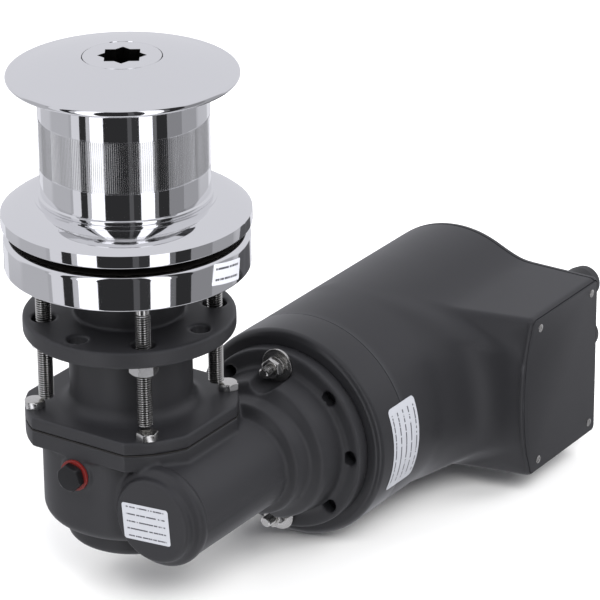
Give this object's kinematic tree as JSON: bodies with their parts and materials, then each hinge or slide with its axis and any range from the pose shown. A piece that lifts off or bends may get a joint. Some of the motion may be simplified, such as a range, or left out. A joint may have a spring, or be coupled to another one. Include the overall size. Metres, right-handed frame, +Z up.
{
  "type": "deck capstan",
  "caption": "Electric deck capstan: polished rope drum over a chromed deck base, clamp plate on studs, worm gear case below deck, horizontal motor with control box.",
  "frame": {"origin": "on the drum's axis at the deck face, where the base ring's underside rests on deck", "axes": "+Z up along the drum's axis, +X along the motor away from the gear case, the motor's axis on the -Y side of the drum's"},
  "size_m": [0.3314, 0.1954, 0.2841],
  "materials": {
    "chrome": "polished chrome plate on bronze",
    "zinc": "satin stainless",
    "steel": "machined steel",
    "casting": "dark powder coat on cast aluminium",
    "aluminium": "as machined",
    "shield": "semi-gloss black paint",
    "cover": "satin black moulded plastic",
    "iron": "black paint on steel tube",
    "laminations": "stacked steel sheet",
    "bronze": "machined bronze",
    "copper": "bare copper",
    "magnet": "sintered ferrite",
    "carbon": "pressed carbon",
    "rubber": "black nitrile",
    "red_seal": "red fibre and rubber seal",
    "paper": "gasket sheet",
    "insulator": "brown phenolic",
    "black_plastic": "black nylon"
  },
  "bodies": {
    "frame": {"deck_base": "chrome", "base_ring_seal": "rubber", "deck_studs": "zinc", "deck_nuts": "zinc", "gear_cover": "casting", "gear_case": "casting", "case_gasket": "paper", "case_bolts": "zinc", "oil_plug": "zinc", "oil_plug_seal": "red_seal", "shaft_bearing_outer_races": "steel", "worm_bearing_outer_races": "steel", "motor_bearing_outer_races": "steel", "neck_oil_seal": "rubber", "worm_oil_seal": "rubber", "worm_retaining_ring": "steel", "motor_front_shield": "shield", "motor_yoke": "iron", "motor_rear_shield": "aluminium", "field_magnets": "magnet", "brush_carrier": "insulator", "brushes": "carbon", "brush_holders": "bronze", "motor_tie_bolts": "zinc", "motor_studs": "zinc", "motor_washers": "zinc", "motor_spring_washers": "zinc", "motor_nuts": "zinc", "motor_cover": "cover", "control_box_lid": "cover", "lid_screws": "zinc", "contactor_saddle": "black_plastic", "contactor": "black_plastic", "contactor_terminals": "copper", "cable_glands": "black_plastic", "gland_nuts": "black_plastic"},
    "worm": {"worm_shaft": "steel", "worm_bearing_inner_races": "steel", "shaft_coupling": "steel", "armature_shaft": "steel", "armature_core": "laminations", "armature_windings": "copper", "commutator": "copper", "motor_bearing_inner_races": "steel"},
    "shaft": {"drive_shaft": "steel", "shaft_keys": "steel", "wheel_spacer": "steel", "worm_wheel": "bronze", "shaft_bearing_inner_races": "steel", "clutch_cone": "bronze", "cone_retaining_ring": "steel"},
    "drum": {"drum": "chrome", "drum_skirt": "chrome", "drum_bush": "bronze"},
    "washer": {"thrust_washer": "bronze"},
    "nut": {"star_nut": "chrome"}
  },
  "joints": [
    {"name": "worm_spin", "type": "hinge", "parent": "frame", "child": "worm", "pos_m": [0, -0.045, -0.1146], "axis": [1, 0, 0], "continuous": true},
    {"name": "shaft_spin", "type": "hinge", "parent": "frame", "child": "shaft", "pos_m": [0, 0, 0], "axis": [0, 0, 1], "continuous": true},
    {"name": "drum_release", "type": "hinge", "parent": "shaft", "child": "drum", "pos_m": [0, 0, 0.06], "axis": [0, 0, 1], "continuous": true},
    {"name": "nut_lift", "type": "slide", "parent": "shaft", "child": "washer", "axis": [0, 0, 1], "range_m": [0, 0.002]},
    {"name": "nut_turn", "type": "hinge", "parent": "washer", "child": "nut", "pos_m": [0, 0, 0.1], "axis": [0, 0, 1], "range_deg": [0, 360]}
  ],
  "couplings": [
    {"joint": "shaft_spin", "follows": "worm_spin", "ratio": -0.014286},
    {"joint": "nut_turn", "follows": "nut_lift", "rad_per_m": 3141.6}
  ]
}
